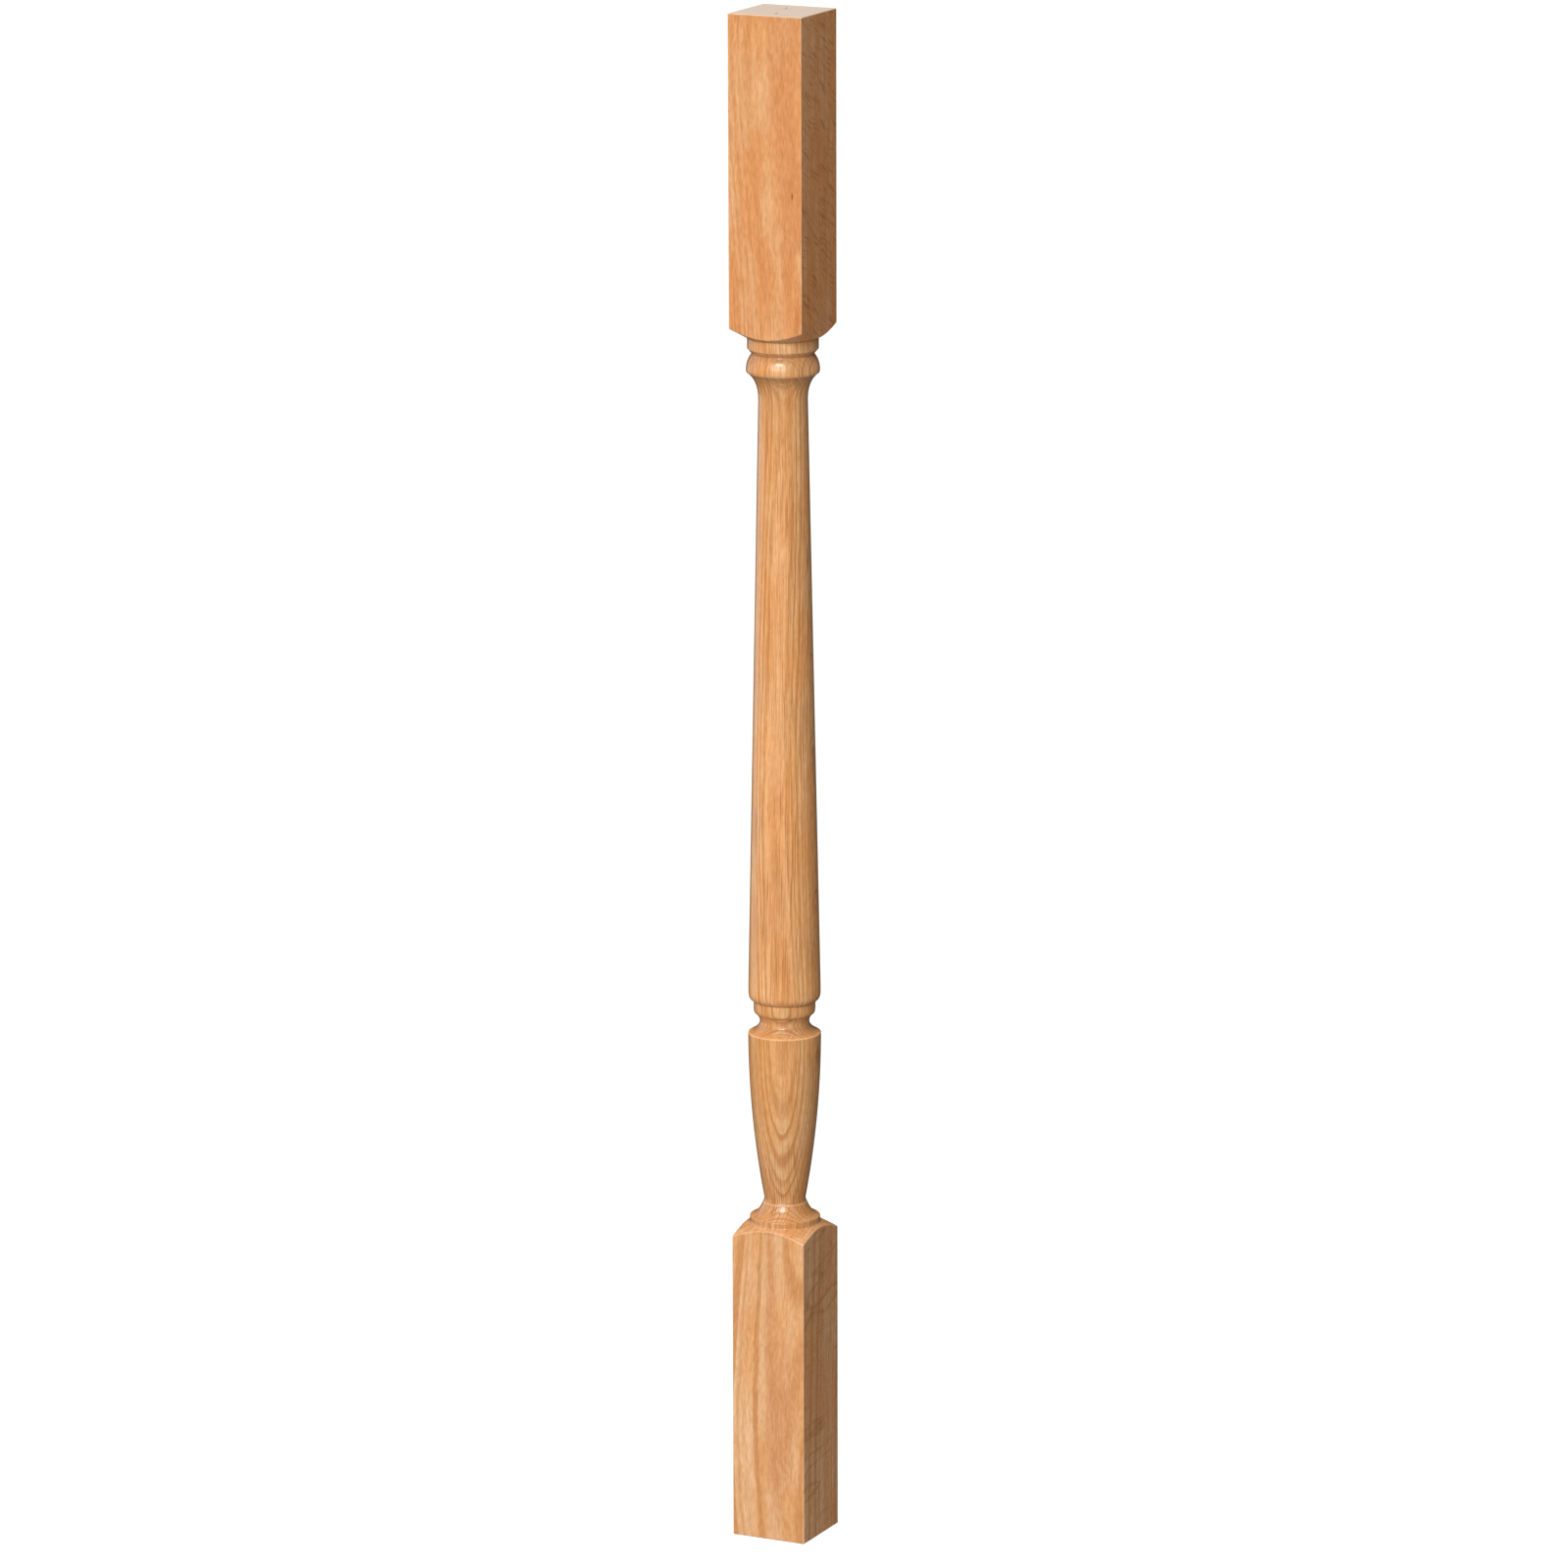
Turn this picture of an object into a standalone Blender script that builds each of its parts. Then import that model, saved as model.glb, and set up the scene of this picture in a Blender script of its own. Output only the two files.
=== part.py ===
# Turned stair baluster in oak, cut from one square length of stock.
# A square block is left at each end. Between them the stock is turned to a small base collar and
# cove, a vase, a cove, a ring, a long tapering shaft, a cap bead and a top collar.
# Metres, +Z up. The origin is the middle of the underside, and the faces look along X and Y.

import math

import bmesh
import bpy
from mathutils import Matrix

MM = 0.001

# The square stock
STOCK_SIDE = 44.45 * MM
TOTAL_LENGTH = 863.6 * MM
CORNER_EASING = 0.3 * MM

# The square blocks, each measured up the middle of a face to the turned shoulder
BOTTOM_BLOCK = 180.0 * MM
TOP_BLOCK = 178.4 * MM
SHOULDER_ANGLE = math.radians(29.0)
SHOULDER_FILLET = 0.6 * MM

# A moulding's LEAD is the point that its curve heads for from both ends,
# as shares of the way across and of the way up.

# The base collar, with a cove from its edge up to a fine edge below the neck
BASE_COLLAR_RADIUS = 19.75 * MM
BASE_COLLAR_HEIGHT = 3.6 * MM
BASE_COVE_HEIGHT = 7.85 * MM
BASE_COVE_EDGE_RADIUS = 12.3 * MM
BASE_COVE_LEAD = (0.6, 0.1)
NECK_RADIUS = 11.65 * MM
NECK_HEIGHT = 2.6 * MM
NECK_LEAD = (1.0, 0.2)

# The vase, with a sharp upper edge
VASE_RADIUS = 20.4 * MM
VASE_HEIGHT = 95.3 * MM
VASE_CURVE = 534.0 * MM

# The cove above the vase
VASE_COVE_RADIUS = 13.9 * MM
VASE_COVE_FALL = 6.55 * MM
VASE_COVE_FALL_LEAD = (1.0, 0.46)
VASE_COVE_RISE = 4.2 * MM
VASE_COVE_RISE_LEAD = (0.0, 0.5)

# The ring, whose lower edge is rounded under
RING_RADIUS = 17.3 * MM
RING_LIP_DEPTH = 1.5 * MM
RING_LIP_HEIGHT = 3.55 * MM
RING_LIP_LEAD = (1.0, 0.1)
RING_BAND_HEIGHT = 4.05 * MM

# The shaft, with a quarter round at its foot
FOOT_RADIUS = 20.2 * MM
FOOT_ROUND_HEIGHT = 5.0 * MM
FOOT_ROUND_LEAD = (1.0, 0.1)
FOOT_BAND_HEIGHT = 4.0 * MM
SHAFT_TOP_RADIUS = 13.7 * MM

# The cove that spreads from the shaft's top to the cap bead
CAP_COVE_HEIGHT = 15.35 * MM
CAP_COVE_LEAD = (0.0, 0.71)

# The cap bead, with a sharp lower edge, and the groove above it
BEAD_RADIUS = 20.4 * MM
BEAD_EDGE_CUT = 0.35 * MM
BEAD_EDGE_HEIGHT = 1.7 * MM
BEAD_EDGE_LEAD = (1.0, 0.3)
BEAD_ROUND_HEIGHT = 8.8 * MM
BEAD_ROUND_LEAD = (0.0, 0.58)
GROOVE_RADIUS = 17.15 * MM

# The top collar, chamfered down into the groove
TOP_COLLAR_RADIUS = 19.75 * MM
TOP_COLLAR_CHAMFER = 2.85 * MM
TOP_COLLAR_BAND = 5.95 * MM

# The two marks that the lathe's spurs left in the top end
SPUR_LENGTH = 7.0 * MM
SPUR_WIDTH = 1.5 * MM
SPUR_DEPTH = 1.0 * MM
SPUR_DISTANCE = 10.9 * MM
SPUR_BEARING = math.radians(101.6)
SPUR_SIDE_TAPER = 0.7
SPUR_END_TAPER = 0.1

# How finely the turned surface is divided
STEPS_AROUND = 48
SHORT_CURVE_STEPS = 4
LONG_CURVE_STEPS = 7
EASING_STEPS = 2
OUTSIDE_MARGIN = 6.0 * MM
MERGE_DISTANCE = 0.001 * MM
SHARP_ANGLE = math.radians(25.0)

# The oak's finish
OAK_COLOUR = (0.74, 0.33, 0.14, 1.0)
OAK_ROUGHNESS = 0.38


class Outline:
    # A turned outline, drawn upwards as points of radius and height.

    def __init__(self, radius, height):
        self.points = [(radius, height)]

    def line(self, radius, rise):
        height = self.points[-1][1]
        self.points.append((radius, height + rise))

    def bow(self, radius, rise, curve, steps):
        # A circular arc that bulges outwards, with the radius of its curve.
        start_radius, start_height = self.points[-1]
        across, up = radius - start_radius, rise
        chord = math.hypot(across, up)
        reach = math.sqrt(max(curve * curve - chord * chord / 4, 0.0))
        centre_radius = start_radius + across / 2 - reach * up / chord
        centre_height = start_height + up / 2 + reach * across / chord
        first = math.atan2(start_height - centre_height, start_radius - centre_radius)
        last = math.atan2(start_height + up - centre_height, radius - centre_radius)
        for step in range(1, steps):
            angle = first + (last - first) * step / steps
            self.points.append((centre_radius + curve * math.cos(angle),
                                centre_height + curve * math.sin(angle)))
        self.points.append((radius, start_height + up))

    def sweep(self, radius, rise, lead, steps):
        # A quadratic curve that leaves for its lead point and arrives from it.
        start_radius, start_height = self.points[-1]
        across, up = radius - start_radius, rise
        lead_across, lead_up = lead
        for step in range(1, steps + 1):
            t = step / steps
            near, far = 2 * t * (1 - t), t * t
            self.points.append((start_radius + across * (near * lead_across + far),
                                start_height + up * (near * lead_up + far)))


def shoulder_height(block_face, radius):
    # How high the cone of a shoulder stands at a radius, from the block's own end.
    return block_face + (STOCK_SIDE / 2 - radius) * math.tan(SHOULDER_ANGLE)


def outside_radius():
    # Clear of the stock's corners, so the blocks are left square.
    return STOCK_SIDE / 2 * math.sqrt(2) + OUTSIDE_MARGIN


def add_bottom_shoulder(outline):
    fillet_radius = BASE_COLLAR_RADIUS + SHOULDER_FILLET
    fillet_fall = SHOULDER_FILLET * math.tan(SHOULDER_ANGLE)
    outline.line(outside_radius(), shoulder_height(BOTTOM_BLOCK, outside_radius()) + OUTSIDE_MARGIN)
    outline.line(fillet_radius, (outside_radius() - fillet_radius) * math.tan(SHOULDER_ANGLE))
    fillet_height = fillet_fall + SHOULDER_FILLET
    outline.sweep(BASE_COLLAR_RADIUS, fillet_height, (1.0, fillet_fall / fillet_height), EASING_STEPS)


def add_base_mouldings(outline):
    outline.line(BASE_COLLAR_RADIUS, BASE_COLLAR_HEIGHT - SHOULDER_FILLET)
    outline.sweep(BASE_COVE_EDGE_RADIUS, BASE_COVE_HEIGHT, BASE_COVE_LEAD, LONG_CURVE_STEPS)
    outline.sweep(NECK_RADIUS, NECK_HEIGHT, NECK_LEAD, SHORT_CURVE_STEPS)


def add_vase(outline):
    outline.bow(VASE_RADIUS, VASE_HEIGHT, VASE_CURVE, 2 * SHORT_CURVE_STEPS)
    outline.sweep(VASE_COVE_RADIUS, VASE_COVE_FALL, VASE_COVE_FALL_LEAD, LONG_CURVE_STEPS)


def add_ring(outline):
    outline.sweep(RING_RADIUS - RING_LIP_DEPTH, VASE_COVE_RISE, VASE_COVE_RISE_LEAD, SHORT_CURVE_STEPS)
    outline.sweep(RING_RADIUS, RING_LIP_HEIGHT, RING_LIP_LEAD, SHORT_CURVE_STEPS)
    outline.line(RING_RADIUS, RING_BAND_HEIGHT)


def add_shaft(outline, top_height):
    outline.sweep(FOOT_RADIUS, FOOT_ROUND_HEIGHT, FOOT_ROUND_LEAD, SHORT_CURVE_STEPS)
    outline.line(FOOT_RADIUS, FOOT_BAND_HEIGHT)
    outline.line(SHAFT_TOP_RADIUS, top_height - outline.points[-1][1])


def add_cap_mouldings(outline):
    outline.sweep(BEAD_RADIUS - BEAD_EDGE_CUT, CAP_COVE_HEIGHT, CAP_COVE_LEAD, LONG_CURVE_STEPS)
    outline.sweep(BEAD_RADIUS, BEAD_EDGE_HEIGHT, BEAD_EDGE_LEAD, EASING_STEPS)
    outline.sweep(GROOVE_RADIUS, BEAD_ROUND_HEIGHT, BEAD_ROUND_LEAD, LONG_CURVE_STEPS)
    outline.line(TOP_COLLAR_RADIUS, TOP_COLLAR_CHAMFER)
    outline.line(TOP_COLLAR_RADIUS, TOP_COLLAR_BAND)


def add_top_shoulder(outline):
    outline.line(outside_radius(), (outside_radius() - TOP_COLLAR_RADIUS) * math.tan(SHOULDER_ANGLE))
    outline.line(outside_radius(), TOTAL_LENGTH + OUTSIDE_MARGIN - outline.points[-1][1])
    outline.line(0.0, 0.0)


def turned_outline():
    # The shaft takes up whatever length the blocks and the mouldings leave.
    top_collar_height = TOTAL_LENGTH - shoulder_height(TOP_BLOCK, TOP_COLLAR_RADIUS)
    cap_height = (CAP_COVE_HEIGHT + BEAD_EDGE_HEIGHT + BEAD_ROUND_HEIGHT
                  + TOP_COLLAR_CHAMFER + TOP_COLLAR_BAND)
    outline = Outline(0.0, -OUTSIDE_MARGIN)
    outline.line(outside_radius(), 0.0)
    add_bottom_shoulder(outline)
    add_base_mouldings(outline)
    add_vase(outline)
    add_ring(outline)
    add_shaft(outline, top_collar_height - cap_height)
    add_cap_mouldings(outline)
    add_top_shoulder(outline)
    return outline.points


def clear_objects():
    for obj in list(bpy.data.objects):
        bpy.data.objects.remove(obj, do_unlink=True)


def new_collection(name):
    collection = bpy.data.collections.new(name)
    bpy.context.scene.collection.children.link(collection)
    return collection


def mesh_object(name, shape, collection):
    mesh = bpy.data.meshes.new(name)
    shape.to_mesh(mesh)
    shape.free()
    obj = bpy.data.objects.new(name, mesh)
    collection.objects.link(obj)
    return obj


def as_cutter(obj):
    obj.hide_render = True
    obj.display_type = 'WIRE'
    return obj


def oak_material():
    material = bpy.data.materials.new("satin oak")
    material.use_nodes = True
    shader = material.node_tree.nodes["Principled BSDF"]
    shader.inputs["Base Color"].default_value = OAK_COLOUR
    shader.inputs["Roughness"].default_value = OAK_ROUGHNESS
    shader.inputs["Metallic"].default_value = 0.0
    material.diffuse_color = OAK_COLOUR
    return material


def square_stock(name, collection):
    # The sawn and planed length, with its four long corners eased.
    shape = bmesh.new()
    bmesh.ops.create_cube(shape, size=1.0)
    bmesh.ops.scale(shape, vec=(STOCK_SIDE, STOCK_SIDE, TOTAL_LENGTH), verts=shape.verts)
    bmesh.ops.translate(shape, vec=(0.0, 0.0, TOTAL_LENGTH / 2), verts=shape.verts)
    long_corners = [edge for edge in shape.edges
                    if abs(edge.verts[0].co.z - edge.verts[1].co.z) > TOTAL_LENGTH / 2]
    bmesh.ops.bevel(shape, geom=long_corners, offset=CORNER_EASING, offset_type='OFFSET',
                    segments=EASING_STEPS, profile=0.5, affect='EDGES', material=-1)
    return mesh_object(name, shape, collection)


def turned_envelope(collection):
    # Everything that the lathe leaves: the stock is kept only inside this.
    shape = bmesh.new()
    corners = [shape.verts.new((radius, 0.0, height)) for radius, height in reversed(turned_outline())]
    for upper, lower in zip(corners[:-1], corners[1:]):
        shape.edges.new((upper, lower))
    envelope = mesh_object("turned_envelope", shape, collection)
    screw = envelope.modifiers.new("Turn", 'SCREW')
    screw.axis = 'Z'
    screw.angle = 2 * math.pi
    screw.steps = STEPS_AROUND
    screw.render_steps = STEPS_AROUND
    screw.use_merge_vertices = True
    screw.merge_threshold = MERGE_DISTANCE
    return as_cutter(envelope)


def spur_mark(name, bearing, collection):
    # A wedge along a radius of the end, of its full length and width where it meets the surface.
    shape = bmesh.new()
    bmesh.ops.create_cube(shape, size=1.0)
    bmesh.ops.scale(shape, vec=(SPUR_LENGTH, SPUR_WIDTH, 2 * SPUR_DEPTH), verts=shape.verts)
    floor = [vert for vert in shape.verts if vert.co.z < 0]
    roof = [vert for vert in shape.verts if vert.co.z > 0]
    bmesh.ops.scale(shape, vec=(1.0 - SPUR_END_TAPER, 1.0 - SPUR_SIDE_TAPER, 1.0), verts=floor)
    bmesh.ops.scale(shape, vec=(1.0 + SPUR_END_TAPER, 1.0 + SPUR_SIDE_TAPER, 1.0), verts=roof)
    mark = mesh_object(name, shape, collection)
    out = Matrix.Rotation(bearing, 4, 'Z') @ Matrix.Translation((SPUR_DISTANCE, 0.0, 0.0))
    mark.matrix_world = Matrix.Translation((0.0, 0.0, TOTAL_LENGTH)) @ out
    return as_cutter(mark)


def cut(obj, cutter, operation):
    boolean = obj.modifiers.new(cutter.name, 'BOOLEAN')
    boolean.operation = operation
    boolean.solver = 'EXACT'
    boolean.object = cutter


def shade(obj):
    # The cuts are made final, so that every edge between two mouldings can be shaded sharp.
    finished = obj.evaluated_get(bpy.context.evaluated_depsgraph_get())
    mesh = bpy.data.meshes.new_from_object(finished)
    mesh.name = obj.name
    obj.modifiers.clear()
    obj.data = mesh
    mesh.shade_smooth()
    mesh.set_sharp_from_angle(angle=SHARP_ANGLE)


def build_baluster():
    parts = new_collection("turned baluster")
    cutters = new_collection("cutters")
    baluster = square_stock("baluster", parts)
    cut(baluster, turned_envelope(cutters), 'INTERSECT')
    for side, name in enumerate(("spur_mark_near", "spur_mark_far")):
        bearing = SPUR_BEARING + side * math.pi
        cut(baluster, spur_mark(name, bearing, cutters), 'DIFFERENCE')
    shade(baluster)
    baluster.data.materials.clear()
    baluster.data.materials.append(oak_material())


clear_objects()
build_baluster()
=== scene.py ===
# Turned stair baluster in satin oak: its fine surface, its finish, the light and the camera.
# Lengths are in millimetres and angles in degrees, unless a name says otherwise.

import math

import bmesh
import bpy
from mathutils import Matrix, Vector


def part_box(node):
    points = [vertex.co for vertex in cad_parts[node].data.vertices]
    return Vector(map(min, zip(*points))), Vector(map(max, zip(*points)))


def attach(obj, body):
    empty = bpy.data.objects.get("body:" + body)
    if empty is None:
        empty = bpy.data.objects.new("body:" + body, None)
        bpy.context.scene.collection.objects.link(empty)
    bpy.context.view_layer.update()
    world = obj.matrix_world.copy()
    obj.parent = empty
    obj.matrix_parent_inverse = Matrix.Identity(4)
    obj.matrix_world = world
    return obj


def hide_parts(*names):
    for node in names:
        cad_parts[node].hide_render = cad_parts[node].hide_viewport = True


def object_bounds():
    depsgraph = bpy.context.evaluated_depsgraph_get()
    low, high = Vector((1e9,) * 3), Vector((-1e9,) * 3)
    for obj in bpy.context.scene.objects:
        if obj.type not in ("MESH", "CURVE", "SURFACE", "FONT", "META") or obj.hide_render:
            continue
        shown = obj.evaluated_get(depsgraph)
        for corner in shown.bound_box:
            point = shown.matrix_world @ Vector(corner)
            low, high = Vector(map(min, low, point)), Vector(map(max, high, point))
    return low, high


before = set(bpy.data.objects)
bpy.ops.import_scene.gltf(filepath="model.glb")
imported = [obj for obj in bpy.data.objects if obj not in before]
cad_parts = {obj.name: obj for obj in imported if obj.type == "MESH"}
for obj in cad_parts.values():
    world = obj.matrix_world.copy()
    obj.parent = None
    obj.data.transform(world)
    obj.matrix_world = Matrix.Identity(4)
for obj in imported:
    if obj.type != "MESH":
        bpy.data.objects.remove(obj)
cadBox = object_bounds()
mm = 0.001


# Small helpers

def newObject(name, shape):
    mesh = bpy.data.meshes.new(name)
    shape.to_mesh(mesh)
    shape.free()
    obj = bpy.data.objects.new(name, mesh)
    bpy.context.scene.collection.objects.link(obj)
    return obj


def newMaterial(name):
    material = bpy.data.materials.new(name)
    material.use_nodes = True
    tree = material.node_tree
    shader = tree.nodes["Principled BSDF"]
    return material, tree, shader


def addNode(tree, kind, inputs=None, **settings):
    # A node with its settings; each input is a plain value or the socket that feeds it.
    node = tree.nodes.new(kind)
    for name, value in settings.items():
        setattr(node, name, value)
    for socket, value in (inputs or {}).items():
        if isinstance(value, bpy.types.NodeSocket):
            tree.links.new(value, node.inputs[socket])
        else:
            node.inputs[socket].default_value = value
    return node


def maths(tree, operation, *values):
    return addNode(tree, "ShaderNodeMath", dict(enumerate(values)), operation=operation).outputs[0]


def vectorMaths(tree, operation, *vectors):
    return addNode(tree, "ShaderNodeVectorMath", dict(enumerate(vectors)), operation=operation).outputs


def stretched(tree, vector, scale, shift=(0.0, 0.0, 0.0)):
    node = addNode(tree, "ShaderNodeMapping", {"Vector": vector, "Scale": scale, "Location": shift})
    return node.outputs[0]


def noise(tree, vector, detail=2.0, roughness=0.5, output=0):
    node = addNode(tree, "ShaderNodeTexNoise",
                   {"Vector": vector, "Scale": 1.0, "Detail": detail, "Roughness": roughness})
    return node.outputs[output]


def remap(tree, value, low, high, newLow=0.0, newHigh=1.0, smooth=True):
    node = addNode(tree, "ShaderNodeMapRange",
                   {"Value": value, "From Min": low, "From Max": high,
                    "To Min": newLow, "To Max": newHigh})
    node.interpolation_type = 'SMOOTHSTEP' if smooth else 'LINEAR'
    return node.outputs[0]


def mixed(tree, amount, first, second, blend='MIX'):
    node = addNode(tree, "ShaderNodeMix", {0: amount, 6: first, 7: second},
                   data_type='RGBA', blend_type=blend)
    return node.outputs[2]


def surface(tree, output, axis=None):
    # The surface's place on the object, or the way it faces, whole or along one axis.
    value = addNode(tree, "ShaderNodeTexCoord").outputs[output]
    if axis:
        value = addNode(tree, "ShaderNodeSeparateXYZ", {0: value}).outputs[axis]
    return value


# The turned outline, drawn upwards as points of radius and height

turning = {
    "margin": 6.0,              # how far the lathe's envelope stands clear of the stock
    "bottomBlock": 180.0,       # up the middle of a face to the turned shoulder
    "topBlock": 178.4,
    "shoulderAngle": 29.0,
    "shoulderFillet": 0.6,
    "baseCollar": 19.75,        # a plain name is a radius
    "baseCollarHeight": 3.6,
    "baseCollarRound": 0.65,
    "baseCollarRoundLead": (0.0, 0.85),     # a lead is where a curve heads for from both ends
    "baseCoveEdge": 12.3,
    "baseCoveHeight": 7.85,
    "baseCoveLead": (0.6, 0.12),
    "neck": 11.65,
    "neckHeight": 2.6,
    "neckLead": (1.0, 0.2),
    "neckShadow": 1.3,          # above the neck's foot, where a line of painted shade darkens the inner corner
    "vase": 20.4,
    "vaseHeight": 95.3,
    "vaseCurve": 534.0,
    "vaseCove": 13.9,
    "vaseCoveFall": 6.55,
    "vaseCoveFallLead": (1.0, 0.46),
    "vaseCoveRise": 4.2,
    "vaseCoveRiseLead": (0.0, 0.5),
    "ring": 17.3,
    "ringLipDepth": 1.5,
    "ringLipHeight": 3.55,
    "ringLipLead": (1.0, 0.1),
    "ringBandHeight": 4.05,
    "foot": 20.2,
    "footRoundHeight": 5.0,
    "footRoundLead": (1.0, 0.1),
    "footBandHeight": 4.0,
    "shaftTop": 13.7,
    "capCoveHeight": 15.35,
    "capCoveLead": (0.0, 0.71),
    "bead": 20.4,
    "beadEdgeCut": 0.35,
    "beadEdgeHeight": 1.7,
    "beadEdgeLead": (1.0, 0.3),
    "beadRoundHeight": 8.8,
    "beadRoundLead": (0.0, 0.58),
    "groove": 17.15,
    "topCollar": 19.75,
    "topCollarChamfer": 2.85,
    "topCollarBand": 5.95,
    "stepsAround": 192,
    "curveSteps": 12,
    "filletSteps": 4,
    "arrisRounding": 0.6,       # the radius of a turned edge
    "hollowRounding": 0.25,     # and of a turned inner corner
    "arrisFold": 18.0,          # a fold in the outline that counts as an edge
    "roundingSteps": 3,
    "sawTolerance": 0.001,
    "sharpFold": 42.0,          # a fold in the surface that is shaded sharp
}


def lineTo(outline, radius, rise):
    outline.append((radius, outline[-1][1] + rise))


def bowTo(outline, radius, rise, curve, steps):
    # A circular arc that bulges outwards, with the radius of its curve.
    startRadius, startHeight = outline[-1]
    across = radius - startRadius
    chord = math.hypot(across, rise)
    reach = math.sqrt(curve * curve - chord * chord / 4)
    centreRadius = startRadius + across / 2 - reach * rise / chord
    centreHeight = startHeight + rise / 2 + reach * across / chord
    first = math.atan2(startHeight - centreHeight, startRadius - centreRadius)
    last = math.atan2(startHeight + rise - centreHeight, radius - centreRadius)
    for step in range(1, steps + 1):
        angle = first + (last - first) * step / steps
        outline.append((centreRadius + curve * math.cos(angle), centreHeight + curve * math.sin(angle)))


def sweepTo(outline, radius, rise, lead, steps):
    # A quadratic curve that leaves for its lead point and arrives from it.
    startRadius, startHeight = outline[-1]
    across = radius - startRadius
    for step in range(1, steps + 1):
        t = step / steps
        near = 2 * t * (1 - t)
        outline.append((startRadius + across * (near * lead[0] + t * t),
                        startHeight + rise * (near * lead[1] + t * t)))


def addBase(outline, side, outside):
    # The bottom block's shoulder and the base mouldings, up to the neck's foot.
    size = turning
    steps = size["curveSteps"]
    slope = math.tan(math.radians(size["shoulderAngle"]))
    outline.append((outside, size["bottomBlock"] + (side / 2 - outside) * slope))
    filletRadius = size["baseCollar"] + size["shoulderFillet"]
    lineTo(outline, filletRadius, (outside - filletRadius) * slope)
    filletFall = size["shoulderFillet"] * slope
    filletHeight = filletFall + size["shoulderFillet"]
    sweepTo(outline, size["baseCollar"], filletHeight, (1.0, filletFall / filletHeight),
            size["filletSteps"])
    collarRound = size["baseCollarRound"]
    lineTo(outline, size["baseCollar"], size["baseCollarHeight"] - size["shoulderFillet"] - collarRound)
    sweepTo(outline, size["baseCollar"] - collarRound, collarRound, size["baseCollarRoundLead"], steps // 2)
    sweepTo(outline, size["baseCoveEdge"], size["baseCoveHeight"], size["baseCoveLead"], steps)


def addVaseAndRing(outline):
    size = turning
    steps = size["curveSteps"]
    sweepTo(outline, size["neck"], size["neckHeight"], size["neckLead"], steps // 2)
    bowTo(outline, size["vase"], size["vaseHeight"], size["vaseCurve"], 2 * steps)
    sweepTo(outline, size["vaseCove"], size["vaseCoveFall"], size["vaseCoveFallLead"], steps)
    lipRadius = size["ring"] - size["ringLipDepth"]
    sweepTo(outline, lipRadius, size["vaseCoveRise"], size["vaseCoveRiseLead"], steps)
    sweepTo(outline, size["ring"], size["ringLipHeight"], size["ringLipLead"], steps)
    lineTo(outline, size["ring"], size["ringBandHeight"])


def addShaftAndCap(outline, topCollarHeight):
    # The shaft takes up the height that the mouldings leave.
    size = turning
    steps = size["curveSteps"]
    capHeight = sum(size[name] for name in ("capCoveHeight", "beadEdgeHeight", "beadRoundHeight",
                                            "topCollarChamfer", "topCollarBand"))
    sweepTo(outline, size["foot"], size["footRoundHeight"], size["footRoundLead"], steps)
    lineTo(outline, size["foot"], size["footBandHeight"])
    lineTo(outline, size["shaftTop"], topCollarHeight - capHeight - outline[-1][1])
    sweepTo(outline, size["bead"] - size["beadEdgeCut"], size["capCoveHeight"], size["capCoveLead"],
            2 * steps)
    sweepTo(outline, size["bead"], size["beadEdgeHeight"], size["beadEdgeLead"], steps // 2)
    sweepTo(outline, size["groove"], size["beadRoundHeight"], size["beadRoundLead"], steps)
    lineTo(outline, size["topCollar"], size["topCollarChamfer"])
    lineTo(outline, size["topCollar"], size["topCollarBand"])


def turnedOutline(side, length):
    # Also gives the height of the neck's foot.
    size = turning
    slope = math.tan(math.radians(size["shoulderAngle"]))
    outside = side / math.sqrt(2) + size["margin"]
    outline = [(outside, -size["margin"])]
    addBase(outline, side, outside)
    neckFoot = outline[-1][1]
    addVaseAndRing(outline)
    addShaftAndCap(outline, length - size["topBlock"] - (side / 2 - size["topCollar"]) * slope)
    lineTo(outline, outside, (outside - size["topCollar"]) * slope)
    outline.append((outside, length + size["margin"]))
    return outline, neckFoot


def drawOutline(shape, outline):
    # The outline as a wire, with its folds rubbed round where they are edges of the real thing.
    verts = [shape.verts.new((radius * mm, 0.0, height * mm)) for radius, height in outline]
    for lower, upper in zip(verts[:-1], verts[1:]):
        shape.edges.new((lower, upper))
    folds = []
    for before, vert, after in zip(verts[1:-3], verts[2:-2], verts[3:-1]):
        arriving = vert.co - before.co
        leaving = after.co - vert.co
        turn = arriving.angle(leaving)
        if turn > math.radians(turning["arrisFold"]):
            folds.append((vert, turn, arriving.cross(leaving).y < 0))
    # Outer folds are later painted pale, partly as wear and partly as a painted highlight; inner ones get
    # painted shade.
    marks = []
    for vert, turn, outer in folds:
        marks.append((vert.co.z, outer))
        rounding = turning["arrisRounding"] if outer else turning["hollowRounding"]
        bmesh.ops.bevel(shape, geom=[vert], offset=rounding * mm * math.tan(turn / 2),
                        offset_type='OFFSET', segments=turning["roundingSteps"], profile=0.5,
                        affect='VERTICES', material=-1)
    return marks


def trimAt(shape, place, outward):
    # Saws the shape off flat at a plane and closes the cut.
    everything = shape.verts[:] + shape.edges[:] + shape.faces[:]
    cut = bmesh.ops.bisect_plane(shape, geom=everything, dist=turning["sawTolerance"] * mm,
                                 plane_co=place, plane_no=outward, clear_outer=True)
    rim = [part for part in cut["geom_cut"] if isinstance(part, bmesh.types.BMEdge)]
    bmesh.ops.edgeloop_fill(shape, edges=rim)


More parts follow.
